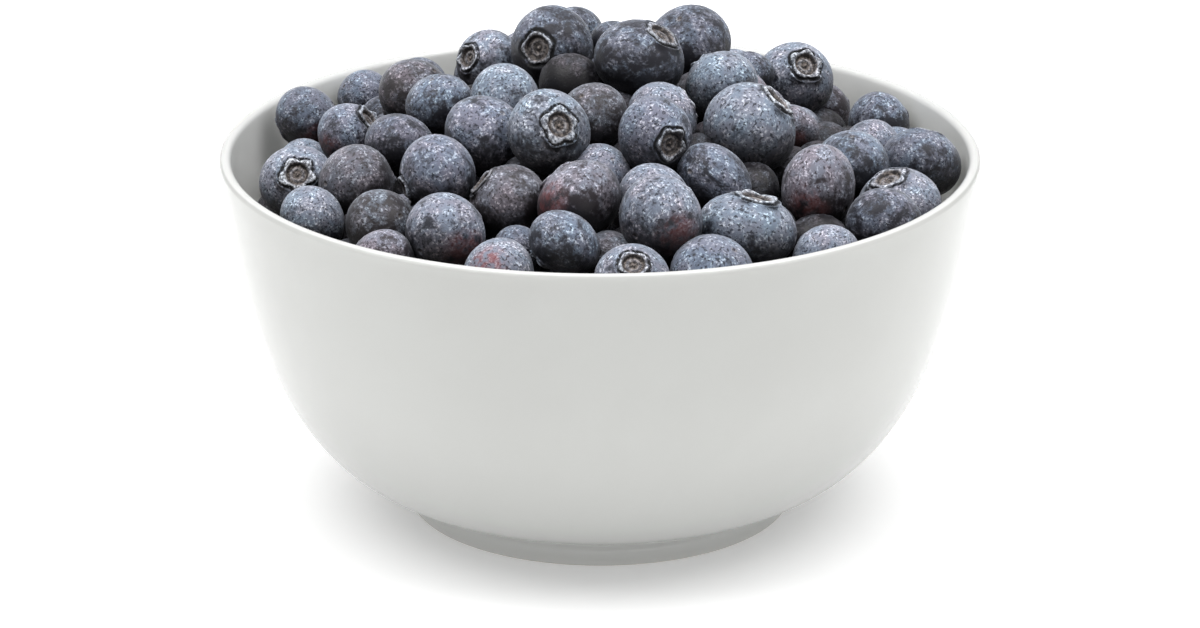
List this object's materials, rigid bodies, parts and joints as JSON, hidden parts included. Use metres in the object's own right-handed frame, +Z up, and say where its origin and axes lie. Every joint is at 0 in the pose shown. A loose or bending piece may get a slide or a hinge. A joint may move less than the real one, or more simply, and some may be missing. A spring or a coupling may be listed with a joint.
{
  "type": "bowl of blueberries",
  "caption": "Round white porcelain bowl on a low foot ring, heaped above its rim with fresh blueberries.",
  "frame": {"origin": "middle of the foot ring's underside, on the surface that the bowl stands on", "axes": "+Z up along the bowl's axis, -Y towards the side that the picture shows"},
  "size_m": [0.15, 0.15, 0.1],
  "materials": {
    "porcelain": "gloss",
    "blueberry": "matte"
  },
  "bodies": {
    "root": {"bowl": "porcelain", "blueberries": "blueberry"}
  },
  "joints": []
}
